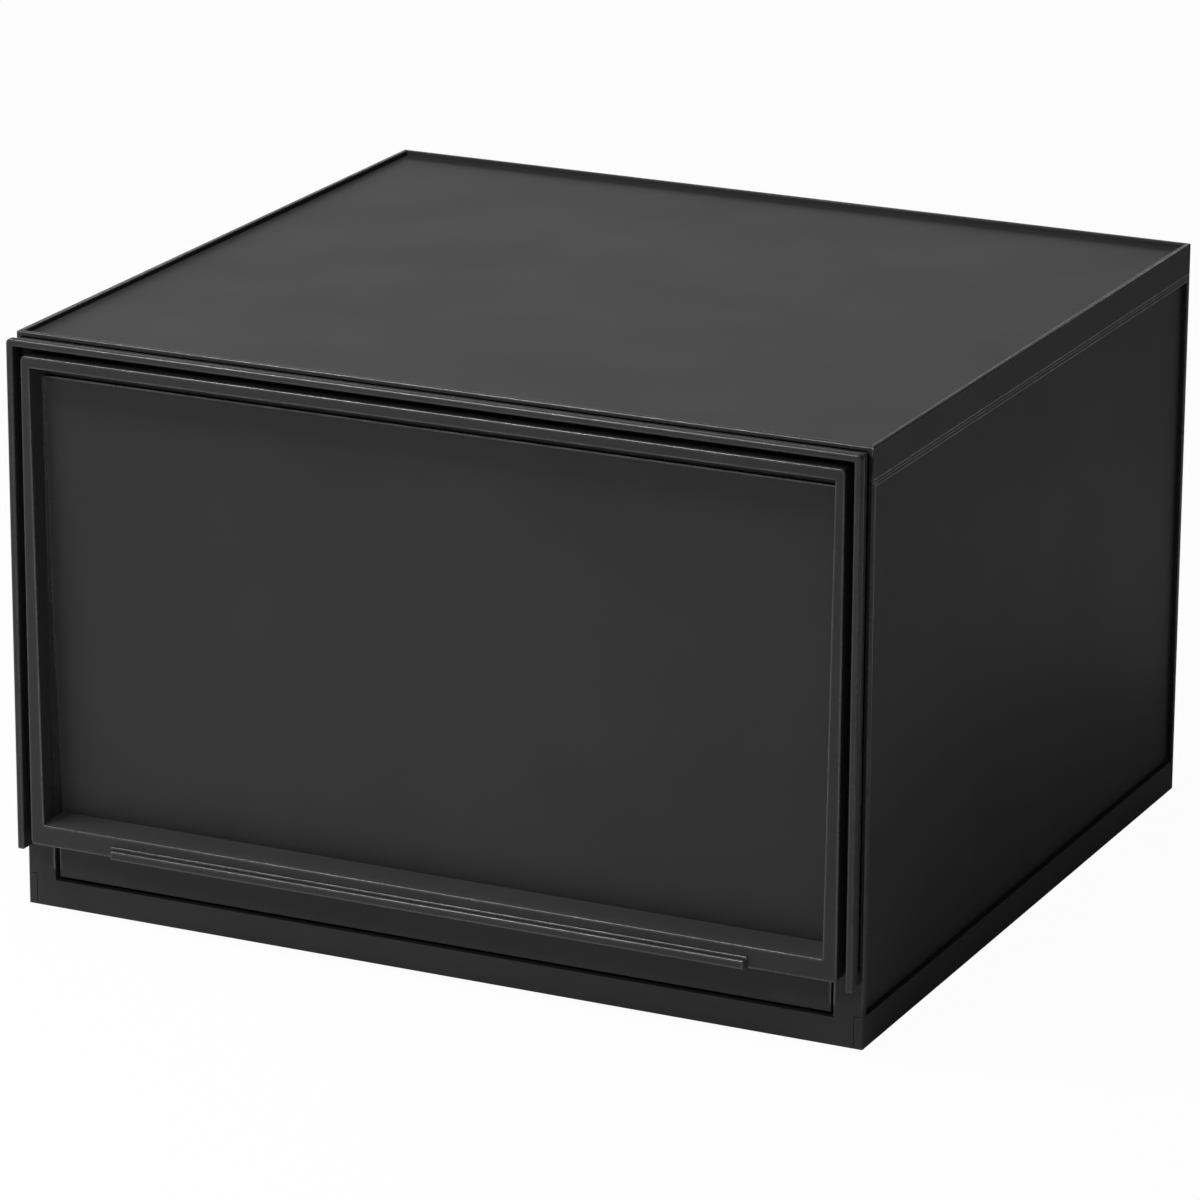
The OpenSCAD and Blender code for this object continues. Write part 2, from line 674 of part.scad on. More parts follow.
module drawer_bin() color(drawer_grey) placed() difference() {
    along_x(-bin_x, bin_x) polygon([[bin_set, bin_z0], [bin_set, shelf_z], [bin_front_y(shelf_z), shelf_z],
        [bin_front_y(bin_z1), bin_z1], [bin_y1, bin_z1], [bin_y1, bin_z0]]);
    along_x(bin_wall - bin_x, bin_x - bin_wall) bin_hollow(bin_z1 - bin_edge_h, 0);
    along_x(bin_wall + bin_edge_t - bin_x, bin_x - bin_wall - bin_edge_t) bin_hollow(bin_z1 + cut, bin_edge_t);
    at_front_rivets() translate([0, 0, -cut])
        cylinder(d = front_boss_d + front_boss_fit, h = bin_wall + head_lean + 2 * cut);
}

// The bin's inside in (y, z), up to height z, with its back face drawn in by back
module bin_hollow(z, back) polygon([
    [bin_set + bin_wall, bin_z0 + bin_wall], [bin_set + bin_wall, shelf_z - bin_wall],
    [bin_front_y(shelf_z - bin_wall) + bin_wall, shelf_z - bin_wall], [bin_front_y(z) + bin_wall, z],
    [bin_y1 - bin_wall - back, z], [bin_y1 - bin_wall - back, bin_z0 + bin_wall]]);

// Puts its children at each rivet of the drawer front, with +Z to the back and the bin's front
// face at zero
module at_front_rivets() both_sides() for (z = front_rivet_zs)
    translate([front_rivet_x, bin_front_y(z), z]) rotate([-90, 0, 0]) children();

module drawer_front() color(drawer_grey) placed() difference() {
    union() {
        along_y(hood_y, front_back_y)
            polygon(rounded([-front_x, front_low_z], [front_x, front_top], front_corner_r));
        along_x(-plug_x, plug_x) polygon([
            [front_back_y - cut, plug_low], [panel_y(plug_low) + wall, plug_low],
            [panel_y(plug_top) + wall, plug_top], [front_back_y - cut, plug_top]]);
        at_front_rivets() translate([0, 0, -wall / 2]) cylinder(d = front_boss_d, h = boss_end + wall / 2);
    }
    front_hollow();
    box([-finger_l / 2, front_back_y - finger_d, front_low_z - cut],
        [finger_l / 2, front_back_y + cut, front_low_z + finger_h]);
    at_front_rivets() translate([0, 0, rivet_bore_z])
        cylinder(d = front_rivet_d + fit, h = boss_end - rivet_bore_z + cut);
    for (x = tongue_xs) box([x - pull_tongue_w / 2 - fit, hood_y - cut, tongue_z0 - fit],
        [x + pull_tongue_w / 2 + fit, front_back_y - finger_d + cut, tongue_z1 + fit]);
}

// The tapered hollow in front of the leaning panel
module front_hollow() {
    y0 = hood_y - cut;
    z0 = hollow_low - ledge_rise * cut / panel_deep_low;
    polyhedron(
        points = [
            [-hollow_x(y0, z0), y0, z0], [hollow_x(y0, z0), y0, z0],
            [hollow_x(panel_low_y, ledge_z), panel_low_y, ledge_z],
            [-hollow_x(panel_low_y, ledge_z), panel_low_y, ledge_z],
            [-hollow_x(y0, hollow_top), y0, hollow_top], [hollow_x(y0, hollow_top), y0, hollow_top],
            [hollow_x(panel_top_y, hollow_top), panel_top_y, hollow_top],
            [-hollow_x(panel_top_y, hollow_top), panel_top_y, hollow_top]],
        faces = [[0, 1, 2, 3], [7, 6, 5, 4], [0, 4, 5, 1], [1, 5, 6, 2], [2, 6, 7, 3], [3, 7, 4, 0]]);
}

module finger_pull() color(drawer_grey) placed() {
    intersection() {
        along_x(-pull_l / 2, pull_l / 2) polygon([
            [hood_y, front_low_z], [hood_y, front_low_z + pull_h],
            [hood_y - pull_reach, front_low_z + pull_nose_h], [hood_y - pull_reach, front_low_z]]);
        translate([0, 0, front_low_z]) linear_extrude(pull_h) polygon([
            [-pull_l / 2, hood_y], [pull_l / 2, hood_y],
            [pull_l / 2 - pull_taper, hood_y - pull_reach], [pull_taper - pull_l / 2, hood_y - pull_reach]]);
    }
    for (x = tongue_xs) box([x - pull_tongue_w / 2, hood_y - cut, tongue_z0],
        [x + pull_tongue_w / 2, front_back_y - finger_d, tongue_z1]);
}

module front_rivets() color(pin_grey) placed() at_front_rivets() {
    translate([0, 0, rivet_bore_z + pin_end])
        cylinder(d = front_rivet_d, h = bin_wall + head_lean - rivet_bore_z - pin_end);
    translate([0, 0, bin_wall + head_lean]) cylinder(d = front_head_d, h = front_head_t);
}

// The right stop lug: a clip over the bin's back wall, held by a nub under the wall's thick edge
module stop_lug() {
    z0 = bin_z1 + lug_gap;
    nub_z1 = bin_z1 - bin_edge_h - lug_gap;
    difference() {
        box([stop_x - lug_w / 2, lug_y0, bin_z1 - lug_leg_l], [stop_x + lug_w / 2, lug_y1, bin_z1 + lug_h]);
        box([stop_x - lug_w, lug_in_y, bin_z1 - lug_leg_l - cut], [stop_x + lug_w, bin_y1 + lug_gap, z0]);
    }
    box([stop_x - lug_w / 4, lug_in_y - cut, nub_z1 - nub_h],
        [stop_x + lug_w / 4, lug_in_y + bin_edge_t - lug_gap, nub_z1]);
}

module right_stop_lug() color(pin_grey) placed() stop_lug();

module left_stop_lug() color(pin_grey) placed() mirror([1, 0, 0]) stop_lug();

top_panel();
bottom_panel();
left_side_panel();
right_side_panel();
back_panel();
front_frame();
front_hood();
hood_rivets();
left_runner();
right_runner();
top_pins();
bottom_pins();
front_pins();
back_pins();
drawer_bin();
drawer_front();
finger_pull();
front_rivets();
left_stop_lug();
right_stop_lug();
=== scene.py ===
"""Looks of a stackable drawer box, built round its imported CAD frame.

A knock-down case of satin charcoal plastic with a hooded front and one sliding drawer. The hood, the
drawer front and its finger pull are numpy surfaces; the other mouldings are copies of their CAD
solids with rounded edges. Everything is in metres, and MM turns millimetres into them.
"""

import json
import math

import bmesh
import bpy
import numpy as np
from mathutils import Matrix, Vector

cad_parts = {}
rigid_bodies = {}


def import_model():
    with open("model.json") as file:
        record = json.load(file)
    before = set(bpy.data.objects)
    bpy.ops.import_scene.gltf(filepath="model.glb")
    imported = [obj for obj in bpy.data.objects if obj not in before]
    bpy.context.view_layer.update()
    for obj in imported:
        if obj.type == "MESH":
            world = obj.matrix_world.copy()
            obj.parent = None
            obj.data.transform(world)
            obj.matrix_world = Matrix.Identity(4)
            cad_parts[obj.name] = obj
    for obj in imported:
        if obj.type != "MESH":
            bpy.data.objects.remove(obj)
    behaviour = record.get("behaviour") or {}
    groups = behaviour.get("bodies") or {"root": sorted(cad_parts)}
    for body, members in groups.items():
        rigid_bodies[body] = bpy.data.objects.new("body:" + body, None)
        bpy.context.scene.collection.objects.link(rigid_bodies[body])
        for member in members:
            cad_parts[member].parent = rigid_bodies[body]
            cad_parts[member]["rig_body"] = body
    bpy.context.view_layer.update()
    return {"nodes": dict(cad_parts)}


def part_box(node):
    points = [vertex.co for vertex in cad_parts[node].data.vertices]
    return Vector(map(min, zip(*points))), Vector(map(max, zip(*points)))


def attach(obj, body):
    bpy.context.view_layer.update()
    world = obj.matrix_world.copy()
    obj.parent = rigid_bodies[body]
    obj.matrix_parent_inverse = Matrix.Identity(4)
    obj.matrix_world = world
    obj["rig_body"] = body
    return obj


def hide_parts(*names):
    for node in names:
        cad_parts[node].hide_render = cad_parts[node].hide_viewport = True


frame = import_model()

bl_info = {
    "name": "Stackable drawer box",
    "version": (1, 0, 0),
    "blender": (4, 5, 0),
    "location": "3D View > Sidebar > Drawer box",
    "description": "Mouldings, finishes and studio for a stackable drawer box",
    "category": "Add Mesh",
}

MM = 0.001
WHITE = (1.0, 1.0, 1.0, 1.0)

ARC_STEPS = 5  # points on the arc of a rounded edge
CORNER_STEPS = 9  # points on the arc round a corner of the hood
BEVEL_STEPS = 3  # faces across a rounded edge of a CAD copy
WELD = 1e-6  # points closer than this are merged
FLAT = math.radians(0.05)  # faces that meet at less than this are joined
SHARP = math.radians(35)  # an edge is one where the faces meet at more than this

# Specular levels of plain faces and of edges under the edge mask, where 0.5 is the IOR's own
FACE_SHEEN, EDGE_SHEEN = 0.21, 1.0
# Values of the cloud noise between which the base colour turns into the clouds'
CLOUD_START, CLOUD_FULL = 0.35, 0.65
# How far the clouds move the roughness either way
CLOUD_GLOSS = 0.008
# Edge mask: near outward edges it pales the colour as a painted highlight, and raises gloss and specular
# level
# How far from an edge the mask reaches, and the occlusion inside the edge at which it starts and is full
EDGE_MASK_REACH = 1.0 * MM
EDGE_MASK_START, EDGE_MASK_FULL = 0.96, 0.75
# The size of its patches, the noise between which it grows to full, and its share in the weakest ones
EDGE_MASK_PATCH = 7 * MM
PATCH_START, PATCH_FULL = 0.35, 0.6
PATCH_LEAST = 0.6
# The heights between which it sets in
ABOVE_FOOT_START, ABOVE_FOOT_FULL = 16 * MM, 18 * MM

HOOD_LOW, HOOD_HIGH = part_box("front_hood")
FRONT_LOW, FRONT_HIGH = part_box("drawer_front")
PULL_LOW, PULL_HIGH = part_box("finger_pull")


def linear(hex_colour):
    """Linear RGBA of an sRGB colour written as six hex digits: a power curve with a straight foot."""
    srgb = np.array([int(hex_colour[i:i + 2], 16) for i in (0, 2, 4)]) / 255
    rgb = np.where(srgb > 0.04045, ((srgb + 0.055) / 1.055) ** 2.4, srgb / 12.92)
    return (*rgb, 1.0)


def length(name, description, millimetres):
    """A length property whose default is given in millimetres."""
    return bpy.props.FloatProperty(
        name=name, description=description, default=millimetres * MM, min=0.0, precision=5, unit="LENGTH")


def angle(name, description, degrees):
    """An angle property whose default is given in degrees."""
    return bpy.props.FloatProperty(
        name=name, description=description, default=math.radians(degrees), unit="ROTATION")


def share(name, description, default):
    """A plain number property, such as a share or a lamp's watts."""
    return bpy.props.FloatProperty(name=name, description=description, default=default, min=0.0)


def colour(name, description, hex_colour):
    """A colour property whose default is given as sRGB hex."""
    return bpy.props.FloatVectorProperty(
        name=name, description=description, default=linear(hex_colour), size=4, subtype="COLOR",
        min=0.0, max=1.0)


# --- Properties ---


class HoodSizes(bpy.types.PropertyGroup):
    """Sizes of the lip, neck and root of the hood."""

    lip_width: length("Lip width", "Width of the lip seen from the front", 2.8)
    lip_depth: length("Lip depth", "Thickness of the lip from front to back", 3.0)
    lip_radius: length("Lip radius", "Radius of the lip's front edges", 0.8)
    back_radius: length("Back radius", "Radius of the lip's edge towards the neck", 0.3)
    neck_inset: length("Neck inset", "How far the neck lies inside the lip's outer edge", 1.1)
    root_width: length("Root width", "Width of the flange on the front frame", 8.8)
    root_depth: length("Root depth", "Thickness of that flange", 1.2)
    root_lift: length("Root lift", "How much higher the flange ends than the legs", 3.8)
    corner_radius: length("Corner radius", "Radius of the two upper corners", 1.8)
    inner_corner: length("Inner corner", "Smallest radius of those corners inside the lip", 0.5)
    end_radius: length("End radius", "Rounding of the legs' ends", 0.5)


class FrontSizes(bpy.types.PropertyGroup):
    """Sizes of the drawer front."""

    rail_side_top: length("Side rail, top", "Width of the side rails at the top", 3.8)
    rail_side_low: length("Side rail, foot", "Width of the side rails at the foot", 5.7)
    rail_top: length("Top rail", "Height of the top rail", 4.3)
    rail_low: length("Bottom rail", "Height of the bottom rail", 8.15)
    panel_top: length("Panel, top", "Depth of the leaning panel at its top", 7.0)
    panel_low: length("Panel, foot", "Depth of the leaning panel at its foot", 12.0)
    ledge_rise: length("Ledge rise", "How much the ledge rises towards the panel", 1.75)
    crown_depth: share("Crown depth", "Share of the ledge's depth at which its steeper front part ends", 0.3)
    crown_rise: share("Crown rise", "Share of the ledge's rise that its front part makes", 0.62)
    draft: length("Draft", "How far each side of the hollow draws in towards the panel", 1.0)
    corner_radius: length("Corner radius", "Radius of the outer corners", 1.6)
    hollow_corner: length("Hollow corner", "Radius of the hollow's corners", 0.25)
    edge_radius: length("Edge radius", "Radius of the outer front edges", 0.5)
    inner_radius: length("Inner radius", "Radius of the edges round the hollow", 0.4)
    back_radius: length("Back radius", "Radius of the edges at the back", 0.3)
    frame_depth: length("Frame depth", "Depth of the rails from front to back", 7.6)
    plug_inset: length("Plug inset", "Distance of the plug behind the rails from their outer edge", 5.6)
    plug_top: length("Plug top", "Distance of the plug below the top of the rails", 5.2)
    wall: length("Wall", "Thickness of the panel", 2.4)
    slot_low: length("Slot, foot", "Distance of the slot's foot below the top of the hollow", 4.1)
    slot_high: length("Slot, top", "Distance of the slot's top below the top of the hollow", 1.4)
    slot_depth: length("Slot depth", "Depth of the slot in the panel", 1.2)
    slot_end: length(
        "Slot end", "Distance of the slot's ends from the side walls, and radius of its corners", 0.35)
    finger_length: length("Finger hollow", "Length of the hollow under the bottom rail", 300.0)
    finger_depth: length("Finger depth", "Depth of that hollow from front to back", 5.2)
    finger_height: length("Finger height", "Height of that hollow", 5.7)


class PullSizes(bpy.types.PropertyGroup):
    """Sizes of the finger pull."""

    nose_height: length("Nose height", "Height of the ridge at its nose", 3.3)
    taper: length("Taper", "How much shorter the nose is at each end", 0.95)
    radius: length("Radius", "Radius of the nose's edges", 0.5)
    step: length("Step", "How far the ridge stands out at its root, over the nose", 0.7)
    bead: length("Bead", "Radius of that step's edge", 0.35)
    end_radius: length("End radius", "Rounding of the ends", 0.3)


class EdgeSizes(bpy.types.PropertyGroup):
    """Radii of the other mouldings' edges."""

    panel: length("Panel edges", "Radius along the panels' seams and openings", 0.3)
    foot: length("Foot edges", "Radius along the seams of the bottom and the front frame", 0.08)
    fastener: length("Fastener edges", "Radius round pins, rivets, lugs and runners", 0.2)
    shortest: length("Shortest edge", "Edges shorter than this stay sharp", 1.2)


class FinishSettings(bpy.types.PropertyGroup):
    """Colours of the plastics."""

    case: colour("Case", "Charcoal polypropylene of the case", "303031")
    case_cloud: colour("Case clouds", "Its paler flow clouds", "333334")
    # Painted highlight: a paler colour that the edge mask lays on the edges of the case and the drawer
    painted_highlight: colour("Worn edges", "Polypropylene that rubbing has paled", "373738")
    drawer: colour("Drawer", "Charcoal polypropylene of the drawer", "303031")
    drawer_cloud: colour("Drawer clouds", "Its paler flow clouds", "333334")
    acetal: colour("Acetal", "Grey acetal of the pins, rivets, runners and lugs", "424244")
    acetal_cloud: colour("Acetal clouds", "Its paler flow clouds", "4a4a4c")
    # Painted highlight: a paler colour that the edge mask lays on the edges of the acetal pieces
    acetal_painted_highlight: colour("Worn acetal", "Acetal that rubbing has paled", "525254")


class StudioSettings(bpy.types.PropertyGroup):
    """Camera and light."""

    place: bpy.props.FloatVectorProperty(
        name="Camera place", description="Where the camera stands", default=(0.9898, -2.1002, 0.8452),
        subtype="TRANSLATION", unit="LENGTH")
    azimuth: angle("Azimuth", "Turn of the camera to the right of the front", 25.338)
    elevation: angle("Elevation", "How far the camera looks down", 17.752)
    roll: angle("Roll", "Tilt of the camera", 0.3006)
    lens: bpy.props.FloatProperty(
        name="Lens", description="Focal length on a 36 mm sensor", default=192.54, subtype="DISTANCE_CAMERA")
    floor: colour("Floor", "Plain pale floor", "f0f0f0")
    rear_light: share("Rear light", "Watts of the long softbox behind", 7.0)
    edge_light: share(
        "Edge light", "Watts of the softbox high at the left, which the front edges mirror", 12.0)
    key_light: share("Key light", "Watts of the small softbox in front", 1.6)
    top_light: share("Top light", "Watts of the softbox over the front", 0.5)
    surround: share("Surround", "Strength of the world's light", 0.07)
    gloss_share: share("Gloss share", "Share of the white background that glossy surfaces mirror", 0.03)
    paper_glow: share("Paper glow", "Share of the floor that shows as plain white", 0.97)


# --- Surfaces ---


def arc(centre, radius, start, end, steps=ARC_STEPS):
    """Points of an arc from one angle to another, in degrees: the centre plus the radius times the cosine
    and sine of evenly spaced angles."""
    turn = np.radians(np.linspace(start, end, steps))
    return np.stack([centre[0] + radius * np.cos(turn), centre[1] + radius * np.sin(turn)], axis=1)


def closed_grid(rows, columns):
    """Corner numbers of the quads of a grid whose columns close on themselves."""
    row, column = np.meshgrid(np.arange(rows - 1), np.arange(columns), indexing="ij")
    here = row * columns + column
    beside = row * columns + (column + 1) % columns
    return np.stack([here, beside, beside + columns, here + columns], axis=-1).reshape(-1, 4)


def tube(points):
    """A closed surface over points[row, column]: quads between rows, and one flat face at each end."""
    rows, columns, _ = points.shape
    ends = [list(range(columns))[::-1], list(range((rows - 1) * columns, rows * columns))]
    return points.reshape(-1, 3), closed_grid(rows, columns).tolist() + ends


def inset(section, distance):
    """The closed section moved inwards: each point goes along the mean of its two edges' inward normals,
    lengthened so that both edges move by the distance. The sign of the section's area tells inwards."""
    following = np.roll(section, -1, axis=0)
    area = np.sum(section[:, 0] * following[:, 1] - section[:, 1] * following[:, 0])
    edge = following - section
    edge /= np.linalg.norm(edge, axis=1, keepdims=True)
    normal = np.stack([-edge[:, 1], edge[:, 0]], axis=1) * np.sign(area)
    mean = normal + np.roll(normal, 1, axis=0)
    return section + distance * mean * 2 / np.sum(mean * mean, axis=1, keepdims=True)


def rounding(radius):
    """Pairs of (setback, inset) round an edge, from the face where the inset is the radius to the full
    section: the radius times one less the cosine and one less the sine of an angle up to 90 degrees."""
    turn = np.radians(np.linspace(0, 90, ARC_STEPS))
    return radius * (1 - np.stack([np.cos(turn), np.sin(turn)], axis=1))


def make_piece(node, slot, shells):
    """Puts closed shells into one mesh that stands for a CAD node and rides on that node's body."""
    mesh = bpy.data.meshes.new(node + "_moulded")
    first, points, faces = 0, [], []
    for shell_points, shell_faces in shells:
        points.extend(shell_points.tolist())
        faces.extend([[first + corner for corner in face] for face in shell_faces])
        first += len(shell_points)
    mesh.from_pydata(points, [], faces)
    shape = bmesh.new()
    shape.from_mesh(mesh)
    bmesh.ops.remove_doubles(shape, verts=shape.verts, dist=WELD)
    bmesh.ops.dissolve_degenerate(shape, edges=shape.edges, dist=WELD)
    bmesh.ops.recalc_face_normals(shape, faces=shape.faces)
    shape.to_mesh(mesh)
    shape.free()
    mesh.shade_smooth()
    mesh.set_sharp_from_angle(angle=SHARP)
    dress(bpy.data.objects.new(node + "_moulded", mesh), node, slot)


def dress(piece, node, slot):
    """Links a finished piece, gives it its slot's material and lets it stand for its CAD node."""
    bpy.context.scene.collection.objects.link(piece)
    piece.data.materials.append(material_of(slot))
    weighted = piece.modifiers.new("Weighted normals", "WEIGHTED_NORMAL")
    weighted.keep_sharp = True
    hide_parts(node)
    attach(piece, frame["nodes"][node]["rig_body"])


def edged_copy(node, slot, radius, shortest):
    """A merged copy of a CAD node whose outward edges get a Bevel of one radius.

    Flat faces are joined first, so that an edge is marked once over its whole length. Edges no longer than
    shortest stay sharp.
    """
    shape = bmesh.new()
    shape.from_mesh(frame["nodes"][node].data)
    bmesh.ops.remove_doubles(shape, verts=shape.verts, dist=WELD)
    bmesh.ops.dissolve_limit(shape, angle_limit=FLAT, verts=shape.verts, edges=shape.edges)
    marks = shape.edges.layers.float.new("bevel_weight_edge")
    for edge in shape.edges:
        if edge.is_manifold and edge.is_convex and edge.calc_length() > shortest:
            edge[marks] = float(edge.calc_face_angle() > SHARP)
    mesh = bpy.data.meshes.new(node + "_moulded")
    shape.to_mesh(mesh)
    shape.free()
    mesh.shade_smooth()
    mesh.set_sharp_from_angle(angle=SHARP)
    piece = bpy.data.objects.new(node + "_moulded", mesh)
    bevel = piece.modifiers.new("Rounded edges", "BEVEL")
    bevel.limit_method = "WEIGHT"
    bevel.width = radius
    bevel.segments = BEVEL_STEPS
    bevel.use_clamp_overlap = False
    dress(piece, node, slot)


# --- Materials ---


def node_of(tree, kind, settings=(), links=()):
    """Adds a node, sets its sockets and attributes by name, and links its inputs to other sockets."""
    node = tree.nodes.new(kind)
    for name, value in dict(settings).items():
        if isinstance(name, int) or name in node.inputs:
            node.inputs[name].default_value = value
        else:
            setattr(node, name, value)
    for name, socket in dict(links).items():
        tree.links.new(socket, node.inputs[name])
    return node


def moulded_plastic(name, *, base, cloud, painted_highlight, cloud_size, roughness, polished, grain, grain_depth, ior):
    """A moulded thermoplastic.

    Flow clouds of cloud_size vary the colour and the gloss, and a fine eroded grain breaks up the
    reflections.
    Near outward edges, in patches, a paler colour is painted on as a highlight, and the surface is glossier
    and mirrors more. Near the foot none of this is applied.
    """
    material = bpy.data.materials.new(name)
    material.use_nodes = True
    tree = material.node_tree
    tree.nodes.clear()
    place = node_of(tree, "ShaderNodeTexCoord").outputs["Object"]
    clouds = node_of(
        tree, "ShaderNodeTexNoise", {"Scale": 1 / cloud_size, "Detail": 3.0, "Roughness": 0.55},
        {"Vector": place}).outputs["Fac"]
    mottle = node_of(
        tree, "ShaderNodeMapRange", {"From Min": CLOUD_START, "From Max": CLOUD_FULL},
        {"Value": clouds}).outputs["Result"]
    mixed = node_of(tree, "ShaderNodeMix", {"data_type": "RGBA", 6: base, 7: cloud}, {0: mottle})
    satin = node_of(
        tree, "ShaderNodeMapRange", {"To Min": roughness + CLOUD_GLOSS, "To Max": roughness - CLOUD_GLOSS},
        {"Value": mottle}).outputs["Result"]
    grains = node_of(
        tree, "ShaderNodeTexNoise", {"Scale": 1 / grain, "Detail": 2.0, "Roughness": 0.6},
        {"Vector": place}).outputs["Fac"]
    bump = node_of(tree, "ShaderNodeBump", {"Distance": grain_depth}, {"Height": grains}).outputs["Normal"]
    edges = node_of(
        tree, "ShaderNodeAmbientOcclusion",
        {"samples": 4, "inside": True, "only_local": True, "Distance": EDGE_MASK_REACH}).outputs["AO"]
    patches = node_of(
        tree, "ShaderNodeTexNoise", {"Scale": 1 / EDGE_MASK_PATCH, "Detail": 2.0}, {"Vector": place}).outputs["Fac"]
    strength = node_of(
        tree, "ShaderNodeMapRange", {"From Min": PATCH_START, "From Max": PATCH_FULL, "To Min": PATCH_LEAST},
        {"Value": patches}).outputs["Result"]
    height = node_of(tree, "ShaderNodeSeparateXYZ", {}, {0: place}).outputs["Z"]
    above_foot = node_of(
        tree, "ShaderNodeMapRange", {"From Min": ABOVE_FOOT_START, "From Max": ABOVE_FOOT_FULL},
        {"Value": height}).outputs["Result"]
    most = node_of(tree, "ShaderNodeMath", {"operation": "MULTIPLY"}, {0: strength, 1: above_foot}).outputs[0]
    # The edge mask: it lays on the painted highlight colour and sets the gloss and specular level
    highlight_and_gloss_mask = node_of(
        tree, "ShaderNodeMapRange", {"From Min": EDGE_MASK_START, "From Max": EDGE_MASK_FULL},
        {"Value": edges, "To Max": most}).outputs["Result"]
    # Painted highlight: near edges the colour is paled towards the highlight colour
    paled = node_of(tree, "ShaderNodeMix", {"data_type": "RGBA", 7: painted_highlight}, {0: highlight_and_gloss_mask, 6: mixed.outputs[2]})
    gloss = node_of(
        tree, "ShaderNodeMix", {"B": polished}, {"Factor": highlight_and_gloss_mask, "A": satin}).outputs["Result"]
    sheen = node_of(
        tree, "ShaderNodeMapRange", {"To Min": FACE_SHEEN, "To Max": EDGE_SHEEN},
        {"Value": highlight_and_gloss_mask}).outputs["Result"]
    surface = node_of(
        tree, "ShaderNodeBsdfPrincipled", {"IOR": ior},
        {"Base Color": paled.outputs[2], "Roughness": gloss, "Specular IOR Level": sheen, "Normal": bump})
    node_of(tree, "ShaderNodeOutputMaterial", {}, {"Surface": surface.outputs["BSDF"]})
    return material


def polypropylene(name, base, cloud, cloud_size):
    """Injection-moulded polypropylene with a fine eroded finish.

    It gives the eye a satin charcoal with broad, dim highlights on the faces and narrow, brighter ones on
    the edges, which are partly painted on as a paler colour. The grain of such a finish is about 0.1 mm,
    too fine to show, so it is drawn at 0.4 mm.
    """
    return moulded_plastic(
        name, base=base, cloud=cloud, painted_highlight=bpy.context.scene.drawer_box_finish.painted_highlight, cloud_size=cloud_size,
        roughness=0.47, polished=0.24, grain=0.4 * MM, grain_depth=0.012 * MM, ior=1.49)


def case_plastic():
    """The polypropylene of the case."""
    finish = bpy.context.scene.drawer_box_finish
    return polypropylene("satin_moulded_polypropylene", finish.case, finish.case_cloud, 45 * MM)


def drawer_plastic():
    """The same polypropylene from another shot: its flow clouds are broader."""
    finish = bpy.context.scene.drawer_box_finish
    return polypropylene(
        "satin_moulded_polypropylene_drawer", finish.drawer, finish.drawer_cloud, 60 * MM)


def pin_plastic():
    """Injection-moulded acetal from a smoother mould.

    It gives the eye a mid grey, paler and a little glossier than the panels. Its grain is too fine to show
    as well, and is drawn at 0.5 mm.
    """
    finish = bpy.context.scene.drawer_box_finish
    # Its edges get a paler colour as a painted highlight, as the polypropylene's do
    return moulded_plastic(
        "moulded_acetal", base=finish.acetal, cloud=finish.acetal_cloud, painted_highlight=finish.acetal_painted_highlight,
        cloud_size=20 * MM, roughness=0.36, polished=0.25, grain=0.5 * MM, grain_depth=0.006 * MM, ior=1.48)


# Slots of the record and what makes their material, and the materials made so far
MATERIALS = {"case_plastic": case_plastic, "drawer_plastic": drawer_plastic, "pin_plastic": pin_plastic}
made = {}


def material_of(slot):
    """The material of a slot of the record, made once."""
    if slot not in made:
        made[slot] = MATERIALS[slot]()
    return made[slot]


# --- Pieces ---


def neck_section(sizes, reach):
    """The lip and neck across, as (distance inwards from the lip's outer edge, depth from its front): a
    rectangle with three rounded corners, and the neck as a narrower rectangle behind it."""
    width, radius, back = sizes.lip_width, sizes.lip_radius, sizes.back_radius
    return np.concatenate([
        arc((radius, radius), radius, 180, 270),
        arc((width - radius, radius), radius, 270, 360),
        [[width, reach], [sizes.neck_inset, reach], [sizes.neck_inset, sizes.lip_depth]],
        arc((back, sizes.lip_depth - back), back, 90, 180),
    ])


def carried_over(section, outer, low, sizes):
    """Carries a section up the right leg, over the top and down the left leg of the hood.

    At a distance inwards the path is the outer outline drawn in by it, with corners about one centre.
    The legs' ends are rounded: there the section draws in along a quarter circle.
    """
    side, top = outer
    ends = rounding(sizes.end_radius)
    drawn = np.stack([inset(section, shrink) for _, shrink in ends])
    leg_x = side - drawn[:, :, 0]
    leg_z = np.broadcast_to(low + ends[:, :1], leg_x.shape)
    inwards, depth = section[:, 0], section[:, 1]
    radius = np.maximum(sizes.corner_radius - inwards, sizes.inner_corner)
    turn = np.radians(np.linspace(0, 90, CORNER_STEPS))[:, None]
    corner_x = side - inwards - radius + radius * np.cos(turn)
    corner_z = top - inwards - radius + radius * np.sin(turn)
    x = np.concatenate([leg_x, corner_x])
    z = np.concatenate([leg_z, corner_z])
    y = np.concatenate([drawn[:, :, 1], np.broadcast_to(depth, corner_x.shape)]) + HOOD_LOW.y
    right = np.stack([x, y, z], axis=-1)
    return tube(np.concatenate([right, (right * [-1, 1, 1])[::-1]]))


class DRAWERBOX_OT_hood(bpy.types.Operator):
    """Adds the hood: a lip on a narrow neck with a flange on the front frame"""

    bl_idname = "drawer_box.hood"
    bl_label = "Hood"

    def execute(self, context):
        sizes = context.scene.drawer_box_hood
        reach = HOOD_HIGH.y - HOOD_LOW.y
        outer = (HOOD_HIGH.x, HOOD_HIGH.z)
        neck, flange = sizes.neck_inset, sizes.neck_inset + sizes.root_width
        root_y = reach - sizes.root_depth
        root = np.array([[neck, reach], [neck, root_y], [flange, root_y], [flange, reach]])
        shells = [
            carried_over(neck_section(sizes, reach), outer, HOOD_LOW.z, sizes),
            carried_over(root, outer, HOOD_LOW.z + sizes.root_lift, sizes),
        ]
        make_piece("front_hood", "case_plastic", shells)
        return {"FINISHED"}


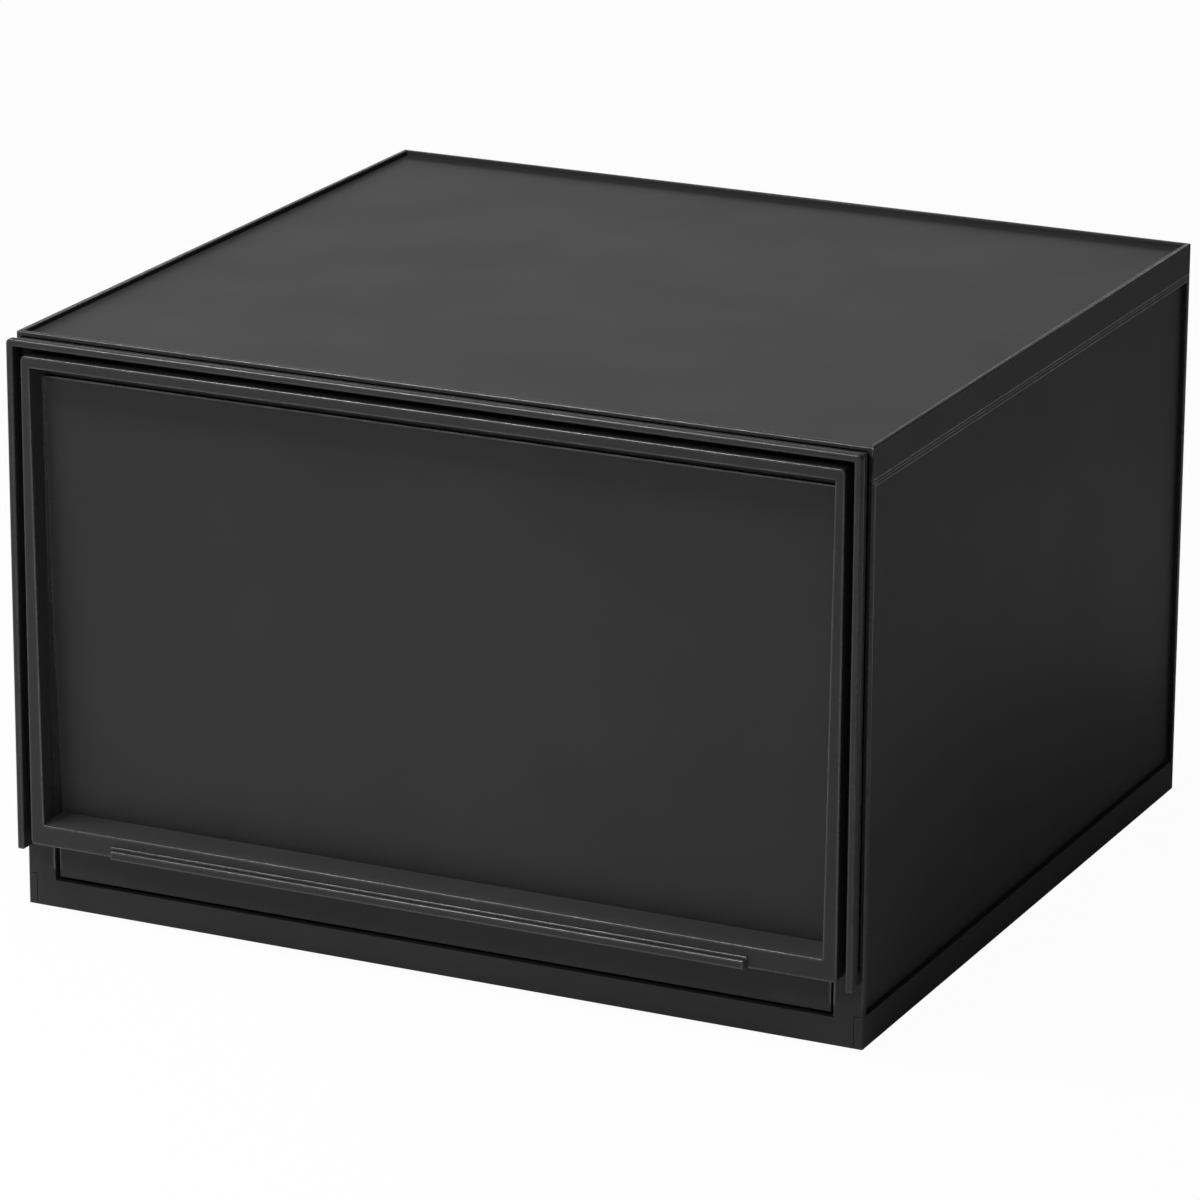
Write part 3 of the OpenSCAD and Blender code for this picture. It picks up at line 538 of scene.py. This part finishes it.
def front_ring(half_low, half_high, low, high, radius, finger_half):
    """Points round a four-sided outline with rounded corners, seen from the front.

    The outline is a rounded rectangle, and its sides lean: the half width changes evenly from the foot to
    the top. Four points along the foot mark the ends of the finger hollow, each end twice.
    """
    foot = np.array([[-finger_half, low], [-finger_half, low], [finger_half, low], [finger_half, low]])
    right, left = half_low - radius, radius - half_low
    points = np.concatenate([
        foot,
        arc((right, low + radius), radius, 270, 360), arc((right, high - radius), radius, 0, 90),
        arc((left, high - radius), radius, 90, 180), arc((left, low + radius), radius, 180, 270)])
    lean = (half_high - half_low) / (high - low)
    points[:, 0] += np.sign(points[:, 0]) * lean * (points[:, 1] - low)
    return points


class DRAWERBOX_OT_front(bpy.types.Operator):
    """Adds the drawer front: a leaning panel with a slot in a frame, a crowned ledge and a finger hollow"""

    bl_idname = "drawer_box.front"
    bl_label = "Drawer front"

    def execute(self, context):
        sizes = context.scene.drawer_box_front
        half, low, high = FRONT_HIGH.x, FRONT_LOW.z, FRONT_HIGH.z
        face, back = FRONT_LOW.y, FRONT_LOW.y + sizes.frame_depth
        hollow_low, hollow_high = low + sizes.rail_low, high - sizes.rail_top
        half_low, half_high = half - sizes.rail_side_low, half - sizes.rail_side_top
        ledge = hollow_low + sizes.ledge_rise
        lean = (sizes.panel_low - sizes.panel_top) / (hollow_high - ledge)
        deep = sizes.crown_depth
        corner, small = sizes.corner_radius, sizes.hollow_corner
        plug_half = half - sizes.plug_inset
        behind_half = half - sizes.plug_inset / 2
        slot_half = half_high - sizes.draft - sizes.slot_end

        # Outlines: half the width at the foot and at the top, and the heights of the foot and the top
        outside = (half, half, low, high)
        hollow = (half_low, half_high, hollow_low, hollow_high)
        crown = (
            half_low - deep * sizes.draft, half_high - deep * sizes.draft,
            hollow_low + sizes.crown_rise * sizes.ledge_rise, hollow_high)
        panel = (half_low - sizes.draft, half_high - sizes.draft, ledge, hollow_high)
        slot = (slot_half, slot_half, hollow_high - sizes.slot_low, hollow_high - sizes.slot_high)
        plug = (plug_half, plug_half, ledge - sizes.wall, high - sizes.plug_top)
        behind = (behind_half, behind_half, low + sizes.finger_height, high - sizes.plug_top / 2)
        rings = []

        def panel_y(z):
            """The panel's depth at a height: it falls back evenly from its top to the ledge."""
            return face + sizes.panel_top + lean * (hollow_high - z)

        def add_ring(inward, y, outline, radius):
            """One ring: an outline drawn in by inward, at depth y, which may change with the height."""
            foot_half, top_half, foot, head = outline
            points = front_ring(
                foot_half - inward, top_half - inward, foot + inward, head - inward, radius,
                sizes.finger_length / 2)
            depth = y(points[:, 1]) if callable(y) else np.full(len(points), y)
            rings.append(np.stack([points[:, 0], depth, points[:, 1]], axis=1))

        # The rings go from the plug's back over the rails and down the hollow to the bottom of the slot.
        # Round an edge, each is drawn in by the inset and moved back by the setback of a quarter circle.
        for setback, inward in rounding(sizes.back_radius):
            add_ring(inward, lambda z, setback=setback: panel_y(z) + sizes.wall - setback, plug, small)
        add_ring(0, back, plug, small)
        ring_behind = len(rings)
        add_ring(0, back, behind, corner)
        for setback, inward in rounding(sizes.back_radius):
            add_ring(inward, back - setback, outside, corner)
        ring_under = len(rings)
        add_ring(0, back - sizes.finger_depth, outside, corner)
        for setback, inward in rounding(sizes.edge_radius)[::-1]:
            add_ring(inward, face + setback, outside, corner)
        for setback, inward in rounding(sizes.inner_radius):
            add_ring(-inward, face + setback, hollow, small)
        add_ring(0, lambda z: face + deep * (panel_y(z) - face), crown, small)
        add_ring(0, panel_y, panel, small)
        add_ring(0, panel_y, slot, sizes.slot_end)
        add_ring(0, lambda z: panel_y(z) + sizes.slot_depth, slot, sizes.slot_end)
        points = np.stack(rings)
        # Over the finger hollow the lower back edge turns into the hollow's inner corner.
        points[ring_behind + 1:ring_under, 1:3, 1] = back - sizes.finger_depth
        points[ring_behind + 1:ring_under, 1:3, 2] = low + sizes.finger_height
        make_piece("drawer_front", "drawer_plastic", [tube(points)])
        return {"FINISHED"}


class DRAWERBOX_OT_pull(bpy.types.Operator):
    """Adds the finger pull: a stepped ridge along the bottom rail with drafted, rounded ends"""

    bl_idname = "drawer_box.pull"
    bl_label = "Finger pull"

    def execute(self, context):
        sizes = context.scene.drawer_box_pull
        half, low, high = PULL_HIGH.x, PULL_LOW.z, PULL_HIGH.z
        root, nose = FRONT_LOW.y, PULL_LOW.y
        radius, bead, shelf = sizes.radius, sizes.bead, low + sizes.nose_height
        # The section (depth, height) goes up inside the rail, down over the step and round the nose. It is
        # carried from end to end, and a point ends sooner the further it stands out from the rail.
        section = np.concatenate([
            [[root + radius, low], [root + radius, high]],
            arc((root - sizes.step + bead, high - bead), bead, 90, 180),
            [[root - sizes.step, shelf]],
            arc((nose + radius, shelf - radius), radius, 90, 180),
            arc((nose + radius, low + radius), radius, 180, 270),
        ])
        ends = rounding(sizes.end_radius)
        drawn = np.stack([inset(section, shrink) for _, shrink in ends])
        reach = half - sizes.taper * (root - drawn[:, :, 0]) / (root - nose)
        x = reach - ends[:, :1]
        right = np.stack([x, drawn[:, :, 0], drawn[:, :, 1]], axis=-1)
        points = np.concatenate([right, (right * [-1, 1, 1])[::-1]])
        make_piece("finger_pull", "drawer_plastic", [tube(points)])
        return {"FINISHED"}


class DRAWERBOX_OT_panels(bpy.types.Operator):
    """Adds the case's panels and the bin with rounded edges"""

    bl_idname = "drawer_box.panels"
    bl_label = "Panels and bin"

    CASE = ("top_panel", "bottom_panel", "left_side_panel", "right_side_panel", "back_panel", "front_frame")
    FOOT = ("bottom_panel", "front_frame")

    def execute(self, context):
        edges = context.scene.drawer_box_edges
        for node in self.CASE:
            radius = edges.foot if node in self.FOOT else edges.panel
            edged_copy(node, "case_plastic", radius, edges.shortest)
        edged_copy("drawer_bin", "drawer_plastic", edges.panel, edges.shortest)
        return {"FINISHED"}


class DRAWERBOX_OT_fasteners(bpy.types.Operator):
    """Adds the runners, stop lugs, pins and rivets"""

    bl_idname = "drawer_box.fasteners"
    bl_label = "Runners, lugs, pins and rivets"

    LONG = ("left_runner", "right_runner", "left_stop_lug", "right_stop_lug")
    # A round piece's end is a ring of short edges, so none of them stays sharp.
    ROUND = ("hood_rivets", "front_rivets", "top_pins", "bottom_pins", "front_pins", "back_pins")

    def execute(self, context):
        edges = context.scene.drawer_box_edges
        for node in self.LONG:
            edged_copy(node, "pin_plastic", edges.fastener, edges.shortest)
        for node in self.ROUND:
            edged_copy(node, "pin_plastic", edges.fastener, shortest=0.0)
        return {"FINISHED"}


# --- Stage ---


def softbox(name, place, target, width, depth, watts):
    """A rectangular area light at a place, facing a target."""
    lamp = bpy.data.lights.new(name, "AREA")
    lamp.shape = "RECTANGLE"
    lamp.size, lamp.size_y, lamp.energy = width, depth, watts
    light = bpy.data.objects.new(name, lamp)
    light.location = place
    light.rotation_euler = (Vector(target) - Vector(place)).to_track_quat("-Z", "Y").to_euler()
    bpy.context.scene.collection.objects.link(light)


def shown_rays(tree, gloss_share):
    """How much of the background's white a ray sees: all of it for camera and transmission rays.

    Glossy rays see a share, because a dark satin plastic that mirrors all of it loses its depth.
    """
    rays = node_of(tree, "ShaderNodeLightPath")
    glossy = node_of(
        tree, "ShaderNodeMath", {"operation": "MULTIPLY_ADD", 1: gloss_share},
        {0: rays.outputs["Is Glossy Ray"], 2: rays.outputs["Is Camera Ray"]}).outputs[0]
    return node_of(
        tree, "ShaderNodeMath", {"operation": "ADD", "use_clamp": True},
        {0: glossy, 1: rays.outputs["Is Transmission Ray"]}).outputs[0]


class DRAWERBOX_OT_stage(bpy.types.Operator):
    """Adds the floor, the soft light and the camera"""

    bl_idname = "drawer_box.stage"
    bl_label = "Studio"

    FLOOR_SIZE = 30.0
    SENSOR_WIDTH = 36.0
    # Each softbox's place, what it faces, its width and its depth
    SOFTBOXES = {
        "rear": ((-1.0, 2.2, 0.5), (0.0, 0.0, 0.15), 2.4, 0.8),
        "edge": ((-0.55, -0.5, 1.2), (0.0, -0.15, 0.15), 0.5, 0.15),
        "key": ((-0.15, -0.7, 0.62), (-0.05, -0.16, 0.12), 0.12, 0.12),
        "top": ((0.1, -0.45, 1.1), (0.0, -0.16, 0.12), 0.2, 0.2),
    }

    def execute(self, context):
        studio = context.scene.drawer_box_studio
        self.add_floor(studio)
        self.add_light(context, studio)
        self.add_camera(context, studio)
        context.scene.view_settings.view_transform = "Standard"
        return {"FINISHED"}

    def add_floor(self, studio):
        """A plain pale floor under the foot ring: mostly plain white, and for the rest paper that takes the
        object's shadow."""
        half = self.FLOOR_SIZE / 2
        mesh = bpy.data.meshes.new("floor")
        corners = [(-half, -half, 0), (half, -half, 0), (half, half, 0), (-half, half, 0)]
        mesh.from_pydata(corners, [], [(0, 1, 2, 3)])
        material = bpy.data.materials.new("white_paper")
        material.use_nodes = True
        tree = material.node_tree
        tree.nodes.clear()
        paper = node_of(tree, "ShaderNodeBsdfDiffuse", {"Color": studio.floor})
        white = node_of(tree, "ShaderNodeEmission", {"Color": WHITE, "Strength": 1.0})
        part = node_of(
            tree, "ShaderNodeMath", {"operation": "MULTIPLY", 1: studio.paper_glow},
            {0: shown_rays(tree, studio.gloss_share)}).outputs[0]
        mixed = node_of(
            tree, "ShaderNodeMixShader", {}, {0: part, 1: paper.outputs[0], 2: white.outputs[0]})
        node_of(tree, "ShaderNodeOutputMaterial", {}, {"Surface": mixed.outputs[0]})
        mesh.materials.append(material)
        floor = bpy.data.objects.new("floor", mesh)
        bpy.context.scene.collection.objects.link(floor)

    def add_light(self, context, studio):
        """A long softbox behind, one high at the left, and two small ones in front and above."""
        for name, place_and_size in self.SOFTBOXES.items():
            softbox(name + "_softbox", *place_and_size, getattr(studio, name + "_light"))
        world = bpy.data.worlds.new("studio")
        world.use_nodes = True
        tree = world.node_tree
        tree.nodes.clear()
        surround = node_of(tree, "ShaderNodeBackground", {"Color": WHITE, "Strength": studio.surround})
        white = node_of(tree, "ShaderNodeBackground", {"Color": WHITE, "Strength": 1.0})
        mixed = node_of(
            tree, "ShaderNodeMixShader", {},
            {0: shown_rays(tree, studio.gloss_share), 1: surround.outputs[0], 2: white.outputs[0]})
        node_of(tree, "ShaderNodeOutputWorld", {}, {"Surface": mixed.outputs[0]})
        context.scene.world = world

    def add_camera(self, context, studio):
        """The camera looks along its azimuth and elevation, and its right-hand axis tilts up by the roll."""
        turn, fall = studio.azimuth, studio.elevation
        forward = Vector((-math.sin(turn) * math.cos(fall), math.cos(turn) * math.cos(fall), -math.sin(fall)))
        level = Vector((math.cos(turn), math.sin(turn), 0))
        upright = level.cross(forward)
        right = level * math.cos(studio.roll) + upright * math.sin(studio.roll)
        up = right.cross(forward)
        lens = bpy.data.cameras.new("camera")
        lens.lens = studio.lens
        lens.sensor_width = self.SENSOR_WIDTH
        camera = bpy.data.objects.new("camera", lens)
        camera.matrix_world = Matrix.LocRotScale(
            Vector(studio.place), Matrix((right, up, -forward)).transposed(), None)
        context.scene.collection.objects.link(camera)
        context.scene.camera = camera


# --- Add-on ---


class DRAWERBOX_PT_panel(bpy.types.Panel):
    """Lists the pieces of the drawer box"""

    bl_label = "Drawer box"
    bl_idname = "DRAWERBOX_PT_panel"
    bl_space_type = "VIEW_3D"
    bl_region_type = "UI"
    bl_category = "Drawer box"

    def draw(self, context):
        for operator in OPERATORS:
            self.layout.operator(operator.bl_idname)


OPERATORS = (
    DRAWERBOX_OT_hood,
    DRAWERBOX_OT_front,
    DRAWERBOX_OT_pull,
    DRAWERBOX_OT_panels,
    DRAWERBOX_OT_fasteners,
    DRAWERBOX_OT_stage,
)
GROUPS = {
    "drawer_box_hood": HoodSizes,
    "drawer_box_front": FrontSizes,
    "drawer_box_pull": PullSizes,
    "drawer_box_edges": EdgeSizes,
    "drawer_box_finish": FinishSettings,
    "drawer_box_studio": StudioSettings,
}


def register():
    """Registers the property groups, operators and panel."""
    for cls in (*GROUPS.values(), *OPERATORS, DRAWERBOX_PT_panel):
        bpy.utils.register_class(cls)
    for name, group in GROUPS.items():
        setattr(bpy.types.Scene, name, bpy.props.PointerProperty(type=group))


def unregister():
    """Takes the panel, operators and property groups away."""
    for name in GROUPS:
        delattr(bpy.types.Scene, name)
    for cls in (DRAWERBOX_PT_panel, *OPERATORS[::-1], *GROUPS.values()):
        bpy.utils.unregister_class(cls)


def main():
    """Builds the pieces and the stage."""
    register()
    bpy.ops.drawer_box.hood()
    bpy.ops.drawer_box.front()
    bpy.ops.drawer_box.pull()
    bpy.ops.drawer_box.panels()
    bpy.ops.drawer_box.fasteners()
    bpy.ops.drawer_box.stage()


if __name__ == "__main__":
    main()
